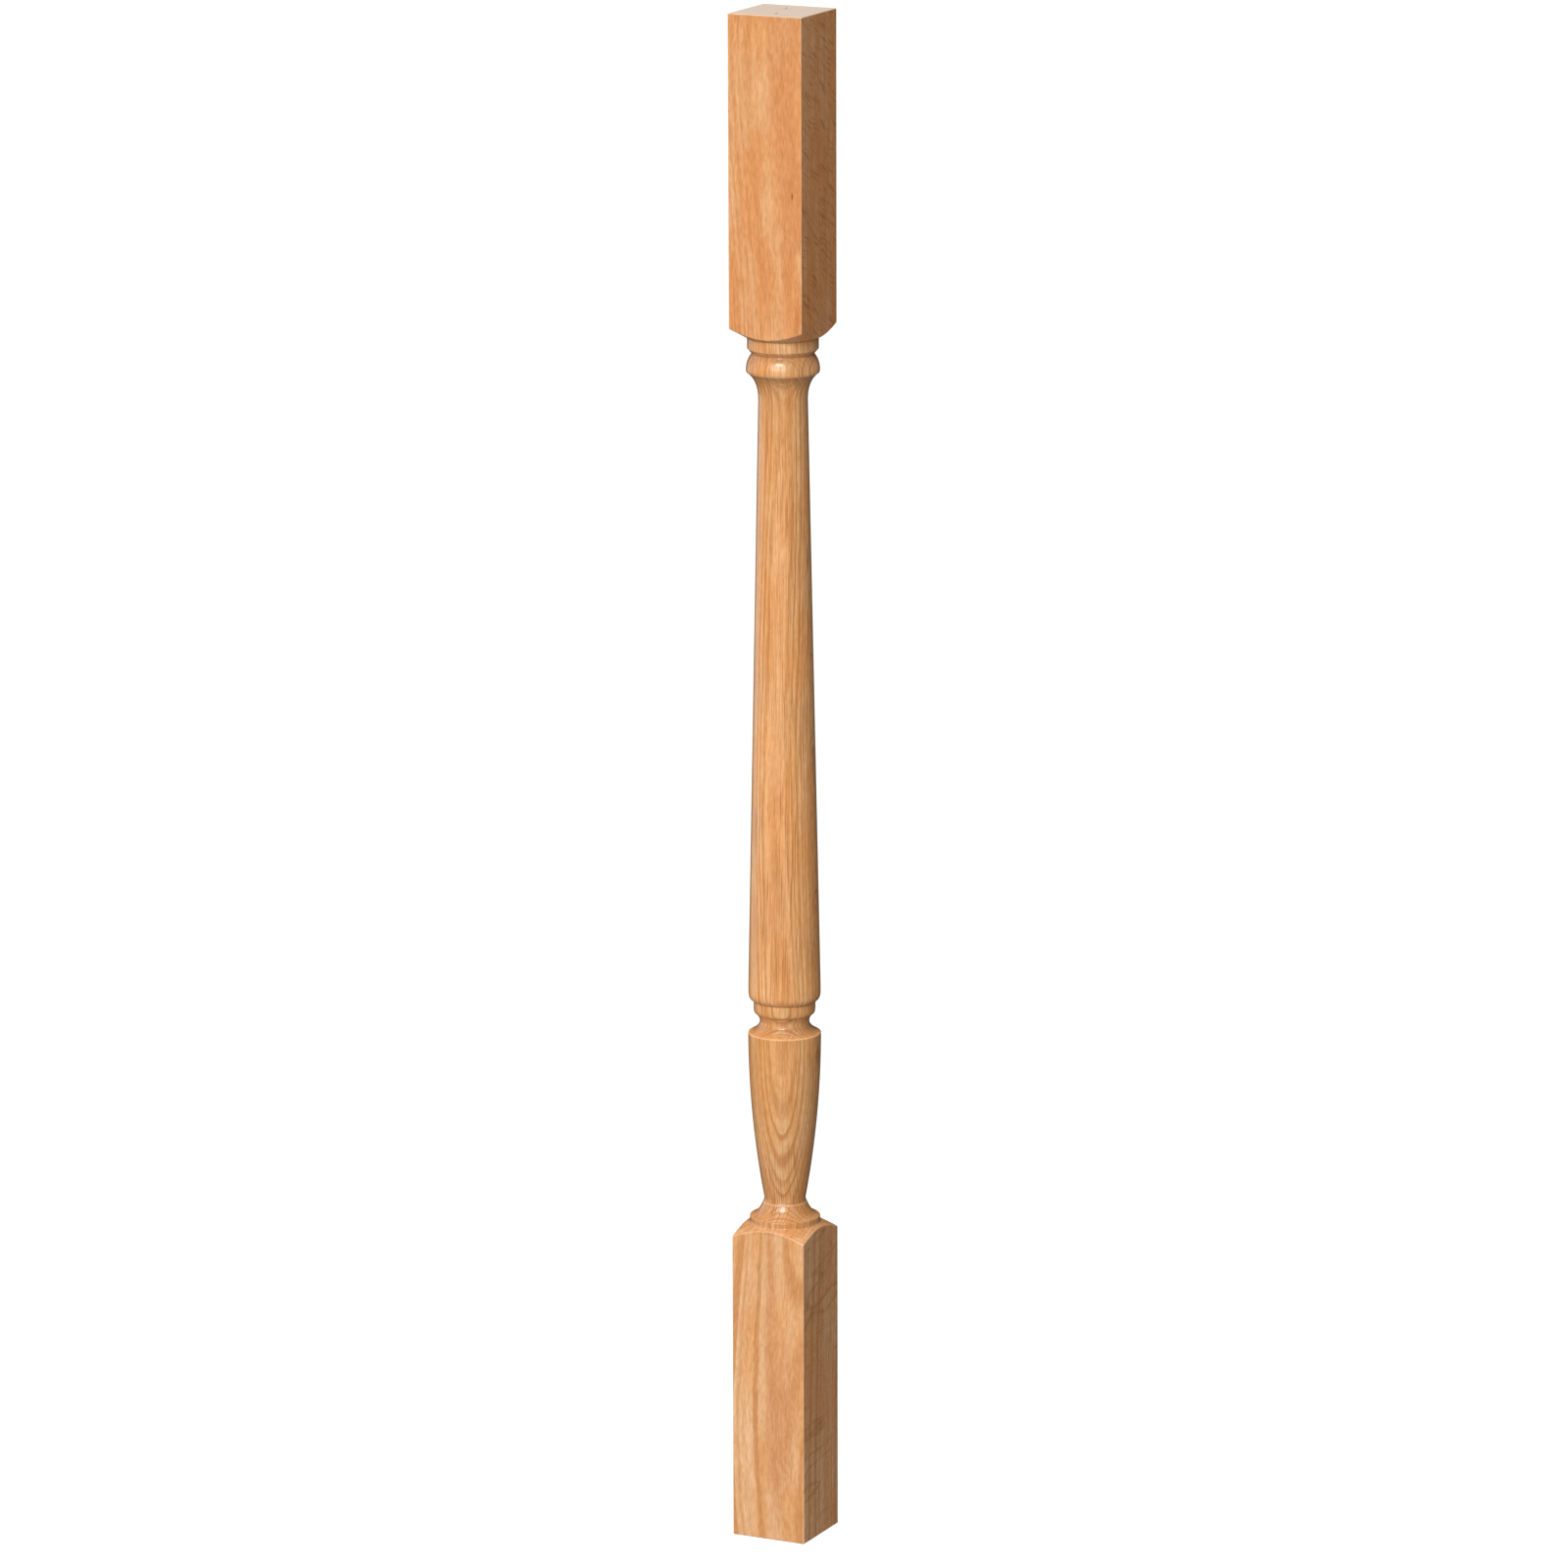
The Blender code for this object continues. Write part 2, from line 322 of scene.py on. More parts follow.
def turnedShape(side, length):
    # The turned and trimmed shape, with the heights of its edges, painted pale as wear and as a painted
    # highlight, and of its inner corners, which get painted shade.
    shape = bmesh.new()
    outline, neckFoot = turnedOutline(side / mm, length / mm)
    marks = drawOutline(shape, outline)
    # A line of painted shade in the inner corner just above the neck's foot.
    marks.append(((neckFoot + turning["neckShadow"]) * mm, False))
    bmesh.ops.spin(shape, geom=shape.verts[:] + shape.edges[:], cent=(0.0, 0.0, 0.0),
                   axis=(0.0, 0.0, 1.0), dvec=(0.0, 0.0, 0.0), angle=math.tau,
                   steps=turning["stepsAround"], use_merge=True)
    bmesh.ops.recalc_face_normals(shape, faces=shape.faces)
    trimAt(shape, (0.0, 0.0, 0.0), (0.0, 0.0, -1.0))
    trimAt(shape, (0.0, 0.0, length), (0.0, 0.0, 1.0))
    for outward in ((1, 0, 0), (-1, 0, 0), (0, 1, 0), (0, -1, 0)):
        trimAt(shape, Vector(outward) * side / 2, outward)
    print("turned outline:", len(marks), "edges and hollows,", len(shape.faces), "faces")
    return shape, marks


# The square blocks' own edges

blocks = {
    "easing": 0.55,
    "easingSteps": 3,
    "edgeFoldRadians": 0.3,     # a fold on a block that counts as its edge
    "faceTolerance": 0.002,
    "edgeWearAndHighlight": 0.4,            # how far the finish is worn off them, and how pale they are painted: wear and a painted highlight
}


def easeStock(shape, side):
    # Takes the sharpness off the edges that the square blocks keep.
    def onStock(vert):
        return max(abs(vert.co.x), abs(vert.co.y)) > side / 2 - blocks["faceTolerance"] * mm

    edges = []
    for edge in shape.edges:
        folded = edge.calc_face_angle(0.0) > blocks["edgeFoldRadians"]
        if folded and all(onStock(vert) for vert in edge.verts):
            edges.append(edge)
    # The eased faces are painted pale: partly wear, partly a painted highlight.
    wornAndHighlit = shape.faces.layers.float.new("wornAndHighlit")
    eased = bmesh.ops.bevel(shape, geom=edges, offset=blocks["easing"] * mm, offset_type='OFFSET',
                            segments=blocks["easingSteps"], profile=0.5, affect='EDGES', material=-1)
    for face in eased["faces"]:
        face[wornAndHighlit] = blocks["edgeWearAndHighlight"]
    print("square edges eased:", len(edges))


# The marks that the lathe's driving spurs left in the top end

spurMarks = {
    "length": 7.0,
    "width": 1.5,
    "depth": 1.0,
    "fromCentre": 10.9,
    "bearing": 101.6,
    "sideTaper": 0.7,
    "endTaper": 0.1,
}


def spurCutter(bearing, height):
    # A wedge, of its full length and width where it meets the surface.
    size = spurMarks
    shape = bmesh.new()
    bmesh.ops.create_cube(shape, size=1.0)
    bmesh.ops.scale(shape, vec=(size["length"] * mm, size["width"] * mm, 2 * size["depth"] * mm),
                    verts=shape.verts)
    for side in (-1, 1):
        level = [vert for vert in shape.verts if vert.co.z * side > 0]
        bmesh.ops.scale(shape, vec=(1 + side * size["endTaper"], 1 + side * size["sideTaper"], 1.0),
                        verts=level)
    bmesh.ops.translate(shape, vec=(size["fromCentre"] * mm, 0.0, height), verts=shape.verts)
    bmesh.ops.rotate(shape, cent=(0.0, 0.0, 0.0), verts=shape.verts,
                     matrix=Matrix.Rotation(math.radians(bearing), 3, 'Z'))
    return newObject("spurCutter", shape)


def strikeSpurMarks(piece, height):
    for turn in (0.0, 180.0):
        cutter = spurCutter(spurMarks["bearing"] + turn, height)
        cut = piece.modifiers.new("Spur mark", 'BOOLEAN')
        cut.operation = 'DIFFERENCE'
        cut.solver = 'EXACT'
        cut.object = cutter
        finished = piece.evaluated_get(bpy.context.evaluated_depsgraph_get())
        mesh = bpy.data.meshes.new_from_object(finished)
        piece.modifiers.clear()
        piece.data = mesh
        bpy.data.objects.remove(cutter)
    print("spur marks struck")


# The oak's grain. A scale counts how often a pattern changes in a metre, across, through and up.

heart = {
    "distance": 70.0,           # from the middle of the stock to the middle of the tree
    "bearing": 13.0,            # round from the lit face towards the shaded one
    "swing": 8.0,               # how far that bearing swings to and fro up the stock
    "swingMiddle": 145.0,
    "swingLength": 400.0,
    "lean": (0.9, -0.5),        # the tree's axis against the baluster's
    "bends": (((24.0, 24.0, 4.5), 4.0), ((75.0, 75.0, 26.0), 1.1)),     # each has its scale and reach
}


def treeAxes(group, place, height):
    # The tree's own axes, straight and bent: y is out from the pith and z is up the tree.
    swung = maths(group, 'SUBTRACT', height, heart["swingMiddle"] * mm)
    swung = maths(group, 'SINE', maths(group, 'MULTIPLY', swung, math.tau / (heart["swingLength"] * mm)))
    bearing = maths(group, 'MULTIPLY_ADD', swung, -math.radians(heart["swing"]),
                    -math.radians(heart["bearing"]))
    turned = addNode(group, "ShaderNodeVectorRotate", {"Vector": place, "Angle": bearing},
                     rotation_type='Z_AXIS')
    leanX, leanY = (math.radians(lean) for lean in heart["lean"])
    leant = addNode(group, "ShaderNodeMapping",
                    {"Vector": turned.outputs[0], "Rotation": (leanX, leanY, 0.0)})
    straight = leant.outputs[0]
    bent = straight
    for scale, reach in heart["bends"]:
        wander = noise(group, stretched(group, straight, scale), output=1)
        centred = vectorMaths(group, 'SUBTRACT', wander, (0.5, 0.5, 0.5))[0]
        bent = vectorMaths(group, 'MULTIPLY_ADD', centred, (reach * mm, reach * mm, 0.0), bent)[0]
    return straight, bent


growthRings = {
    "width": 1.9,
    "uneven": 2.6,              # in rings
    "unevenScale": 0.37,        # to a ring
    "earlyRise": (0.0, 0.16),   # the shares of a ring where the porous early wood starts,
    "earlyFall": (0.24, 0.72),  # and where it ends
    "weakest": 0.2,
    "fadeHeights": (680.0, 720.0),  # the rings grow fainter between these
    "fadedTo": 0.3,
    "bandHeights": (170.0, 190.0),  # the broad bands end between these, and come back faintly on top
    "bandsOnTop": 0.5,
    "bandScale": 0.8,           # to a ring
    "bandRange": (0.44, 0.64),
    "bandStrength": 0.8,
    "ringsInBands": 0.35,
}


def alongRings(group, rings, scale, detail):
    node = addNode(group, "ShaderNodeTexNoise", {"W": rings, "Scale": scale, "Detail": detail},
                   noise_dimensions='1D')
    return node.outputs[0]


def perRing(group, number):
    return addNode(group, "ShaderNodeTexWhiteNoise", {"W": number}, noise_dimensions='1D').outputs["Value"]


def ringPattern(group, bentTree, height):
    # Each ring's own tint, and how much early wood there is.
    size = growthRings
    fromPith = vectorMaths(group, 'SUBTRACT', bentTree, (0.0, -heart["distance"] * mm, 0.0))[0]
    flat = vectorMaths(group, 'MULTIPLY', fromPith, (1.0, 1.0, 0.0))[0]
    rings = maths(group, 'DIVIDE', vectorMaths(group, 'LENGTH', flat)["Value"], size["width"] * mm)
    unevenness = alongRings(group, rings, size["unevenScale"], 1.0)
    count = maths(group, 'MULTIPLY_ADD', unevenness, size["uneven"], rings)
    number = maths(group, 'FLOOR', count)
    phase = maths(group, 'FRACT', count)

    early = maths(group, 'MULTIPLY', remap(group, phase, *size["earlyRise"]),
                  remap(group, phase, *size["earlyFall"], 1.0, 0.0))
    strength = perRing(group, maths(group, 'ADD', number, 0.5))
    early = maths(group, 'MULTIPLY', early, remap(group, strength, 0.0, 1.0, size["weakest"], 1.0, False))
    fadeStart, fadeEnd = (place * mm for place in size["fadeHeights"])
    early = maths(group, 'MULTIPLY', early, remap(group, height, fadeStart, fadeEnd, 1.0, size["fadedTo"]))

    bandStart, bandEnd = (place * mm for place in size["bandHeights"])
    low = remap(group, height, bandStart, bandEnd, 1.0, 0.0)
    high = remap(group, height, fadeStart, fadeEnd, 0.0, size["bandsOnTop"])
    bands = remap(group, alongRings(group, count, size["bandScale"], 0.0), *size["bandRange"])
    bands = maths(group, 'MULTIPLY', bands, maths(group, 'ADD', low, high))
    early = maths(group, 'MULTIPLY', early, remap(group, low, 0.0, 1.0, 1.0, size["ringsInBands"]))
    early = maths(group, 'MAXIMUM', early, maths(group, 'MULTIPLY', bands, size["bandStrength"]))
    return perRing(group, number), early


woodFibres = {
    "poreScale": (2300.0, 2300.0, 330.0),
    "poreReach": (0.16, 0.36),
    "porousFrom": (0.1, 0.8),   # the shares of early wood between which it grows porous
    "latePores": 0.16,
    "fineScale": (950.0, 950.0, 200.0),
    "broadScale": (430.0, 430.0, 75.0),
    "broadShare": 0.35,
}


def fibrePattern(group, bentTree, early):
    # Pores and fibres, drawn out along the tree.
    size = woodFibres
    cells = addNode(group, "ShaderNodeTexVoronoi",
                    {"Vector": stretched(group, bentTree, size["poreScale"]), "Scale": 1.0}, feature='F1')
    dashes = remap(group, cells.outputs["Distance"], *size["poreReach"], 1.0, 0.0)
    pores = maths(group, 'MULTIPLY', dashes,
                  remap(group, early, *size["porousFrom"], size["latePores"], 1.0))
    fine = noise(group, stretched(group, bentTree, size["fineScale"]), 1.0)
    broad = noise(group, stretched(group, bentTree, size["broadScale"]))
    streaks = maths(group, 'MULTIPLY_ADD', broad, size["broadShare"],
                    maths(group, 'MULTIPLY', fine, 1.0 - size["broadShare"]))
    return pores, fine, streaks


raySheets = {
    "slant": 0.034,             # how the sheets turn away from the shaded face
    "twist": 0.016,
    "bow": 7.0,
    "wander": 1.3,
    "wanderScale": (30.0, 60.0, 50.0),
    "wanderRoughness": 0.55,
    "scale": (5000.0, 18.0, 28.0),
    "broken": 0.16,             # how far the fibres break them up
    "range": (0.63, 0.70),
    "plentyScale": (25.0, 40.0, 14.0),
    "plentyShift": (2.0, 5.0, 0.3),
    "plentyRange": (0.38, 0.6),
    "fewest": 0.3,
}


def rayPattern(group, place, stock, fine):
    # Rays stand out from the pith as thin upright sheets that lie close to the shaded face.
    size = raySheets
    upStock = remap(group, stock["Z"], 0.0, cadBox[1].z, -1.0, 1.0, False)
    bow = maths(group, 'MULTIPLY', maths(group, 'MULTIPLY', upStock, upStock), size["bow"] * mm)
    slant = maths(group, 'MULTIPLY_ADD', upStock, size["twist"], size["slant"])
    across = maths(group, 'MULTIPLY_ADD', stock["Y"], slant, maths(group, 'ADD', stock["X"], bow))
    wander = noise(group, stretched(group, place, size["wanderScale"]), 2.0, size["wanderRoughness"])
    across = maths(group, 'MULTIPLY_ADD', wander, size["wander"] * mm, across)
    sheets = addNode(group, "ShaderNodeCombineXYZ", {"X": across, "Y": stock["Y"], "Z": stock["Z"]})
    rays = noise(group, stretched(group, sheets.outputs[0], size["scale"]), 1.0)
    rays = maths(group, 'MULTIPLY_ADD', fine, size["broken"], rays)
    plenty = noise(group, stretched(group, place, size["plentyScale"], size["plentyShift"]), 1.0)
    return maths(group, 'MULTIPLY', remap(group, rays, *size["range"]),
                 remap(group, plenty, *size["plentyRange"], size["fewest"], 1.0))


blockFlecks = {
    "heights": (178.0, 685.5),  # the square blocks lie below and above these
    "slopes": (-0.20, 0.70),    # how the flecks lean on the side faces, below and above
    "flow": 9.0,
    "flowScale": (20.0, 60.0, 30.0),
    "flowShift": (7.0, 1.0, 3.0),
    "dashScale": (9.0, 95.0, 850.0),    # short dashes, on the top block
    "dashRange": (0.55, 0.67),
    "dashStrength": 0.65,
    "lineScale": (9.0, 12.0, 66.0),     # long wavy lines, on the bottom block
    "lineLevel": 0.56,
    "lineWidth": 0.035,
    "lineBreaks": (0.40, 0.52),
    "lineStrengths": (0.2, 0.6),
    "crumbScale": (9.0, 420.0, 900.0),  # the finest, on both
    "crumbRange": (0.50, 0.68),
    "crumbStrength": 0.28,
    "crumbsOnTop": 0.25,
    "facing": (0.85, 0.98),
    "onHiddenSide": 0.35,
}


def fleckPattern(group, place, stock):
    # On the blocks' side faces the rays are cut along, and show as flecks and thin wavy lines.
    # Also gives where the turned part is.
    size = blockFlecks
    lowEnd, highEnd = (height * mm for height in size["heights"])
    lowBlock = maths(group, 'LESS_THAN', stock["Z"], lowEnd)
    highBlock = maths(group, 'GREATER_THAN', stock["Z"], highEnd)
    leaning = remap(group, stock["Z"], lowEnd, highEnd, *size["slopes"], False)
    flow = noise(group, stretched(group, place, size["flowScale"], size["flowShift"]))
    down = maths(group, 'MULTIPLY_ADD', stock["Y"], leaning, stock["Z"])
    down = maths(group, 'MULTIPLY_ADD', flow, size["flow"] * mm, down)
    leant = addNode(group, "ShaderNodeCombineXYZ", {"X": stock["X"], "Y": stock["Y"], "Z": down}).outputs[0]

    dash = noise(group, stretched(group, leant, size["dashScale"]), 1.0)
    dashes = remap(group, dash, *size["dashRange"], 0.0, size["dashStrength"])
    dashes = maths(group, 'MULTIPLY', dashes, highBlock)
    line = noise(group, stretched(group, leant, size["lineScale"]), 1.0)
    line = maths(group, 'ABSOLUTE', maths(group, 'SUBTRACT', line, size["lineLevel"]))
    lines = maths(group, 'MULTIPLY', remap(group, line, 0.0, size["lineWidth"], 1.0, 0.0), lowBlock)
    lines = maths(group, 'MULTIPLY', lines,
                  remap(group, dash, *size["lineBreaks"], *size["lineStrengths"]))
    crumb = noise(group, stretched(group, leant, size["crumbScale"]), 1.0)
    crumbs = maths(group, 'MULTIPLY', remap(group, crumb, *size["crumbRange"], 0.0, size["crumbStrength"]),
                   maths(group, 'MULTIPLY_ADD', lowBlock, 1.0 - size["crumbsOnTop"], size["crumbsOnTop"]))
    flecks = maths(group, 'MAXIMUM', maths(group, 'MAXIMUM', dashes, lines), crumbs)

    sideways = surface(group, "Normal", "X")
    nearly, fully = size["facing"]
    shown = maths(group, 'ADD', remap(group, sideways, nearly, fully),
                  remap(group, sideways, -fully, -nearly, size["onHiddenSide"], 0.0))
    turnedPart = maths(group, 'SUBTRACT', 1.0, maths(group, 'ADD', lowBlock, highBlock))
    return maths(group, 'MULTIPLY', flecks, shown), turnedPart


patchPattern = {
    "scale": (85.0, 85.0, 15.0),
    "shift": (3.0, 7.0, 0.5),
}


def oakGrainGroup():
    # A solid pattern of growth rings, pores and rays, the same through the whole length of stock.
    group = bpy.data.node_groups.new("oakGrain", 'ShaderNodeTree')
    face = group.interface
    face.new_socket(name="Vector", in_out='INPUT', socket_type='NodeSocketVector')
    for name in ("Ring", "Early", "Pores", "Streaks", "Rays", "Patches", "Height"):
        face.new_socket(name=name, in_out='OUTPUT', socket_type='NodeSocketFloat')
    place = addNode(group, "NodeGroupInput").outputs["Vector"]
    stock = addNode(group, "ShaderNodeSeparateXYZ", {0: place}).outputs
    straightTree, bentTree = treeAxes(group, place, stock["Z"])
    ringTint, early = ringPattern(group, bentTree, stock["Z"])
    pores, fine, streaks = fibrePattern(group, bentTree, early)
    flecks, turnedPart = fleckPattern(group, place, stock)
    rays = maths(group, 'MULTIPLY', rayPattern(group, place, stock, fine), turnedPart)
    rays = maths(group, 'MAXIMUM', rays, flecks)
    patches = noise(group, stretched(group, straightTree, patchPattern["scale"], patchPattern["shift"]))
    height = maths(group, 'MULTIPLY_ADD', pores, -1.0, maths(group, 'MULTIPLY', fine, 0.25))

    end = addNode(group, "NodeGroupOutput")
    for name, value in (("Ring", ringTint), ("Early", early), ("Pores", pores), ("Streaks", streaks),
                        ("Rays", rays), ("Patches", patches), ("Height", height)):
        group.links.new(value, end.inputs[name])
    return group


def grainNode(tree, group):
    return addNode(tree, "ShaderNodeGroup", {"Vector": surface(tree, "Object")}, node_tree=group).outputs


# The satin finish, and the bare sawn ends

colours = {
    "pale": (0.86, 0.49, 0.255, 1.0),
    "warm": (0.82, 0.40, 0.165, 1.0),
    "rosy": (0.86, 0.41, 0.195, 1.0),
    "early": (0.65, 0.27, 0.092, 1.0),
    "pore": (0.40, 0.145, 0.045, 1.0),
    "ray": (0.38, 0.14, 0.045, 1.0),
    "darkFibre": (0.88, 0.79, 0.68, 1.0),
    "paleFibre": (1.08, 1.13, 1.18, 1.0),
    "endDark": (0.85, 0.83, 0.83, 1.0),
    "speck": (0.16, 0.06, 0.025, 1.0),
    # pale on the worn edges: partly wear, partly a painted highlight
    "wornAndHighlit": (0.98, 0.66, 0.42, 1.0),
    # dark in the inner corners: painted shade
    "paintedHollowShade": (0.42, 0.17, 0.06, 1.0),
    "sawn": (0.555, 0.45, 0.367, 1.0),
    "sawnDark": (0.44, 0.323, 0.248, 1.0),
}

heightTintsAndPaintedLight = (                 # how the wood's colour drifts up the stock, by height, with painted light in it: the pale ring and foot, and the pale bead and top collar
    (0.0, (0.96, 1.02, 1.07, 1.0)),
    (176.0, (0.96, 1.01, 1.04, 1.0)),
    (182.0, (0.92, 0.93, 0.86, 1.0)),
    (290.0, (0.99, 1.01, 0.89, 1.0)),
    # pale at the ring and foot: painted light from low in front
    (310.0, (1.12, 1.14, 1.03, 1.0)),
    (330.0, (1.02, 1.01, 0.88, 1.0)),
    # pale up the bead to the top collar: painted light and sheen
    (672.0, (1.05, 1.06, 0.96, 1.0)),
    (683.0, (1.12, 1.16, 1.06, 1.0)),
    (687.0, (0.94, 0.85, 0.75, 1.0)),
    (864.0, (0.96, 0.91, 0.84, 1.0)),
)

speck = {                       # the one dark speck, in the top block's lit face
    "place": (16.6, -22.2, 765.6),
    "reach": (0.6, 1.5, 2.4),
    "darkness": 0.85,
    "core": 0.4,                # the share of its reach that is darkest
}

satin = {
    "patches": (0.40, 0.60),    # between the pale wood and the warm
    "rosyRings": (0.45, 1.0),
    "rosiness": 0.6,
    "rays": 0.8,
    "fibres": (0.32, 0.68),     # between the dark fibres and the pale
    "pores": 0.30,
    "roughness": (0.40, 0.62),  # of the wood, and in its pores
    "endRoughness": 0.2,        # what the fibres' cut ends add
    "acrossFibres": (0.08, 0.6),    # how far a surface faces up or down: from along to across them,
    "shoulders": (0.82, 0.87),  # and from the mouldings to the shoulders
    "shine": 0.36,              # of the wood itself
    "coat": 0.9,                # of varnish
    "coatInPores": 0.05,
    "coatRoughness": 0.13,
    "bareCoat": 0.15,           # the share of it left on the shoulders and the rubbed edges
    "edgeReach": 0.5,           # how far from a turned edge it is worn and painted pale as a highlight,
    "edgeWearAndHighlight": 0.40,
    "hollowReach": 0.8,         # and how far from an inner corner it is darkened with painted shade
    "hollowShadeStrength": 0.5,
    "relief": 0.35,
    "reliefDepth": 0.12,
}


def heightTintAndPaintedLight(tree):
    top = heightTintsAndPaintedLight[-1][0]
    height = remap(tree, surface(tree, "Object", "Z"), 0.0, top * mm, smooth=False)
    ramp = addNode(tree, "ShaderNodeValToRGB", {0: height})
    stops = ramp.color_ramp.elements
    stops[0].color = heightTintsAndPaintedLight[0][1]
    stops[1].color = heightTintsAndPaintedLight[-1][1]
    for place, tint in heightTintsAndPaintedLight[1:-1]:
        stop = stops.new(place / top)
        stop.color = tint
    return ramp.outputs[0]


def endShares(tree):
    # Where the lathe cut across the fibres they soaked up more of the finish, and most on the shoulders.
    upward = maths(tree, 'ABSOLUTE', surface(tree, "Normal", "Z"))
    return remap(tree, upward, *satin["acrossFibres"]), remap(tree, upward, *satin["shoulders"])


def edgeWearHighlightAndHollowShade(tree, marks):
    # How far the edges are worn and painted pale as a highlight, and how far the inner corners are darkened
    # with painted shade.
    height = surface(tree, "Object", "Z")
    edgeWearAndGlint = addNode(tree, "ShaderNodeAttribute", attribute_name="wornAndHighlit").outputs["Fac"]
    hollowPaintedShade = None
    for place, outer in marks:
        away = maths(tree, 'ABSOLUTE', maths(tree, 'SUBTRACT', height, place))
        if outer:
            edgeWearAndGlint = maths(tree, 'MAXIMUM', edgeWearAndGlint, remap(tree, away, 0.0, satin["edgeReach"] * mm, 1.0, 0.0))
        else:
            near = remap(tree, away, 0.0, satin["hollowReach"] * mm, 1.0, 0.0)
            hollowPaintedShade = near if hollowPaintedShade is None else maths(tree, 'MAXIMUM', hollowPaintedShade, near)
    return edgeWearAndGlint, hollowPaintedShade


def speckMask(tree):
    scale = [1.0 / (reach * mm) for reach in speck["reach"]]
    shift = [-place / reach for place, reach in zip(speck["place"], speck["reach"])]
    away = vectorMaths(tree, 'LENGTH', stretched(tree, surface(tree, "Object"), scale, shift))["Value"]
    return remap(tree, away, speck["core"], 1.0, speck["darkness"], 0.0)


def oakColour(tree, grain, acrossFibres):
    base = mixed(tree, remap(tree, grain["Patches"], *satin["patches"]), colours["pale"], colours["warm"])
    base = mixed(tree, remap(tree, grain["Ring"], *satin["rosyRings"], 0.0, satin["rosiness"]), base,
                 colours["rosy"])
    base = mixed(tree, grain["Early"], base, colours["early"])
    base = mixed(tree, maths(tree, 'MULTIPLY', grain["Rays"], satin["rays"]), base, colours["ray"])
    base = mixed(tree, 1.0, base, heightTintAndPaintedLight(tree), 'MULTIPLY')
    base = mixed(tree, acrossFibres, base, mixed(tree, 1.0, base, colours["endDark"], 'MULTIPLY'))
    fibre = mixed(tree, remap(tree, grain["Streaks"], *satin["fibres"], smooth=False),
                  colours["darkFibre"], colours["paleFibre"])
    base = mixed(tree, 1.0, base, fibre, 'MULTIPLY')
    base = mixed(tree, maths(tree, 'MULTIPLY', grain["Pores"], satin["pores"]), base, colours["pore"])
    return mixed(tree, speckMask(tree), base, colours["speck"])


def satinOak(group, marks):
    material, tree, shader = newMaterial("satin oak")
    grain = grainNode(tree, group)
    acrossFibres, soaked = endShares(tree)
    edgeWearAndGlint, hollowPaintedShade = edgeWearHighlightAndHollowShade(tree, marks)
    base = oakColour(tree, grain, acrossFibres)
    # Pale edges: partly wear, partly a painted highlight.
    base = mixed(tree, maths(tree, 'MULTIPLY', edgeWearAndGlint, satin["edgeWearAndHighlight"]), base, colours["wornAndHighlit"])
    # Painted shade in the inner corners.
    base = mixed(tree, maths(tree, 'MULTIPLY', hollowPaintedShade, satin["hollowShadeStrength"]), base, colours["paintedHollowShade"])
    tree.links.new(base, shader.inputs["Base Color"])

    roughness = remap(tree, grain["Pores"], 0.0, 1.0, *satin["roughness"])
    roughness = maths(tree, 'MULTIPLY_ADD', acrossFibres, satin["endRoughness"], roughness)
    tree.links.new(roughness, shader.inputs["Roughness"])
    bare = maths(tree, 'MAXIMUM', soaked, edgeWearAndGlint)
    coat = remap(tree, grain["Pores"], 0.0, 1.0, satin["coat"], satin["coatInPores"])
    coat = maths(tree, 'MULTIPLY', coat, remap(tree, bare, 0.0, 1.0, 1.0, satin["bareCoat"]))
    tree.links.new(coat, shader.inputs["Coat Weight"])
    shader.inputs["Coat Roughness"].default_value = satin["coatRoughness"]
    shader.inputs["Specular IOR Level"].default_value = satin["shine"]
    bump = addNode(tree, "ShaderNodeBump", {"Height": grain["Height"], "Strength": satin["relief"],
                                            "Distance": satin["reliefDepth"] * mm})
    tree.links.new(bump.outputs[0], shader.inputs["Normal"])
    return material


sawnEnds = {
    "rings": 0.45,
    "pores": 0.45,
    "rays": 0.25,
    "roughness": 0.8,
    "sawMarkScale": (40.0, 1400.0, 40.0),
    "sawMarkRoughness": 0.6,
    "sawMarks": 0.6,
    "relief": 0.5,
    "reliefDepth": 0.15,
    "reach": 1.2,               # in spur depths below the top end, so that their floors are bare too
    "endTolerance": 0.01,
    "facing": 0.3,              # how far up or down a bare face looks
}


def sawnOak(group):
    # The two ends, cut across the grain and left unvarnished.
    material, tree, shader = newMaterial("sawn end grain")
    grain = grainNode(tree, group)
    base = mixed(tree, maths(tree, 'MULTIPLY', grain["Early"], sawnEnds["rings"]), colours["sawn"],
                 colours["sawnDark"])
    base = mixed(tree, maths(tree, 'MULTIPLY', grain["Pores"], sawnEnds["pores"]), base, colours["pore"])
    base = mixed(tree, maths(tree, 'MULTIPLY', grain["Rays"], sawnEnds["rays"]), base, colours["pale"])
    tree.links.new(base, shader.inputs["Base Color"])
    shader.inputs["Roughness"].default_value = sawnEnds["roughness"]
    sawMarks = noise(tree, stretched(tree, surface(tree, "Object"), sawnEnds["sawMarkScale"]), 2.0,
                     sawnEnds["sawMarkRoughness"])
    rough = maths(tree, 'MULTIPLY_ADD', sawMarks, sawnEnds["sawMarks"], grain["Height"])
    bump = addNode(tree, "ShaderNodeBump", {"Height": rough, "Strength": sawnEnds["relief"],
                                            "Distance": sawnEnds["reliefDepth"] * mm})
    tree.links.new(bump.outputs[0], shader.inputs["Normal"])
    return material


